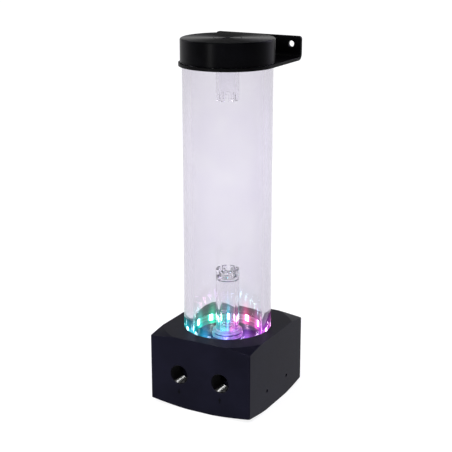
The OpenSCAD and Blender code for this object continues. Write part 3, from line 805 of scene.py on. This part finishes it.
skin_of("pump_cable_bush", [bush(1.9, 3.5, 11.5)], rubber, "base",
        ["pump_cable_grommet"])
skin_of("light_cable_bush", [bush(1.2, 2.5, 46.5)], rubber, "base",
        ["light_cable_grommet"])

# %% [markdown]
# ## Finishes for the CAD pieces
# Every CAD piece that stays in view gets its finish here. The meshes are left alone:
# only the material in each slot changes.

# %% Finishes for the CAD pieces
finishes = {
    "base_housing": anodised, "bottom_cover": anodised, "cover_screws": stainless,
    "driver_board": board, "board_parts": chips, "pump_body": acetal,
    "stator_core": laminations, "stator_coils": copper, "pump_o_rings": rubber,
    "volute_seal": rubber, "pump_top": acetal, "eye_plate": acetal,
    "pump_screws": stainless, "pump_shaft": ceramic, "thrust_washer": ceramic,
    "rotor_magnet": ferrite, "rotor_bush": carbon, "impeller": acetal,
    "light_strip": strip, "light_diodes": diode, "tube_gasket": rubber,
    "tube_o_ring": rubber, "standpipe_seal": rubber, "bracket": coated,
    "bracket_grip_ring": rubber, "fill_plug_seal": rubber,
}
for node_name, node_finish in finishes.items():
    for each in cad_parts[node_name].material_slots:
        each.material = node_finish
print(len(finishes), "CAD pieces have their finish")

# %% [markdown]
# ## Floor, sky and lamps
# The part stands on a white table in a white room, as in a catalogue. The floor gives
# white to the camera and to every reflection and refraction, and a little of its tone
# comes from real light, so the part's soft shadow stays on it. The lamps are soft boxes:
# a tall narrow one on the left draws the upright highlight on the cap, two stand behind
# the part and light its edges, and a wide one hangs overhead.

# %% Floor and sky
def white_room(tree, lit, plain):
    """Mixes two shaders: plain for the rays that look at the room, and lit for the rays
    that only carry light from it to the part."""
    path = add(tree, "LightPath").outputs
    seen = path["Is Camera Ray"]
    for other in ("Is Glossy Ray", "Is Transmission Ray"):
        seen = add(tree, "Math", {0: seen, 1: path[other]}, operation="MAXIMUM").outputs[0]
    return add(tree, "MixShader", {0: seen, 1: lit, 2: plain}).outputs[0]


paper = bpy.data.materials.new("white_table")
paper.use_nodes = True
tree = paper.node_tree
tree.nodes.clear()
lit = add(tree, "BsdfDiffuse", {"Color": linear("#e8e8ea")}).outputs[0]
far = add(tree, "VectorMath", {0: add(tree, "TexCoord").outputs["Object"]}, operation="LENGTH")
glow = add(tree, "Emission", {"Color": (1, 1, 1, 1), "Strength": between(
    tree, far.outputs["Value"], 0.12, 0.6, 0.84, 1.0)}).outputs[0]
soft = add(tree, "BsdfDiffuse", {"Color": (0.26, 0.26, 0.27, 1)}).outputs[0]
both = add(tree, "AddShader", {0: glow, 1: soft}).outputs[0]
add(tree, "OutputMaterial", {"Surface": white_room(tree, lit, both)})

reach = 12.0
table = bpy.data.meshes.new("table")
table.from_pydata([(-reach, -reach, 0), (reach, -reach, 0), (reach, reach, 0), (-reach, reach, 0)],
                  [], [(0, 1, 2, 3)])
table.materials.append(paper)
table = bpy.data.objects.new("table", table)
scene.collection.objects.link(table)

sky = bpy.data.worlds.new("white_room")
scene.world = sky
sky.use_nodes = True
tree = sky.node_tree
tree.nodes.clear()
dim = add(tree, "Background", {"Color": linear("#dfe0ea"), "Strength": 0.35}).outputs[0]
# The white of the table climbs a little way up the room, which is dark overhead
up = add(tree, "SeparateXYZ", {0: add(tree, "TexCoord").outputs["Generated"]}).outputs["Z"]
shade = between(tree, up, 0.22, 0.50, 1.0, 0.06)
path = add(tree, "LightPath").outputs["Is Glossy Ray"]
level = add(tree, "Mix", {0: path, 2: 1.0, 3: shade}, data_type="FLOAT").outputs[0]
white = add(tree, "Background", {"Color": (1, 1, 1, 1), "Strength": level}).outputs[0]
add(tree, "OutputWorld", {"Surface": white_room(tree, dim, white)})
print("the table reaches", reach, "m each way")

# %% Lamps
def soft_box(name, azimuth, elevation, distance, width, height, watts, colour="#ffffff"):
    """An area lamp of that size in metres, aimed at the middle of the part."""
    lamp = bpy.data.lights.new(name, "AREA")
    lamp.shape, lamp.size, lamp.size_y = "RECTANGLE", width, height
    lamp.energy, lamp.color = watts, linear(colour)[:3]
    box = bpy.data.objects.new(name, lamp)
    scene.collection.objects.link(box)
    a, e = math.radians(azimuth), math.radians(elevation)
    aim = np.array([0, 0, 0.12])
    at = aim + distance * np.array([math.cos(e) * math.cos(a), math.cos(e) * math.sin(a),
                                    math.sin(e)])
    box.location = at
    w = (at - aim) / np.linalg.norm(at - aim)
    u = np.cross([0, 0, 1], w)
    u = u / np.linalg.norm(u)
    v = np.cross(w, u)
    box.visible_camera = False
    box.rotation_euler = Matrix(np.stack([u, v, w], 1).tolist()).to_euler()
    print(name, "at", [round(float(x), 2) for x in at])


soft_box("left_strip", -103, 25, 0.64, 0.09, 0.40, 2.8)
soft_box("back_right_box", 70, 34, 1.2, 0.4, 0.7, 6, "#e4dcff")
soft_box("back_left_box", 172, 32, 1.2, 0.35, 0.7, 4, "#f4f0ff")
soft_box("top_box", -60, 66, 1.6, 1.2, 1.0, 11)
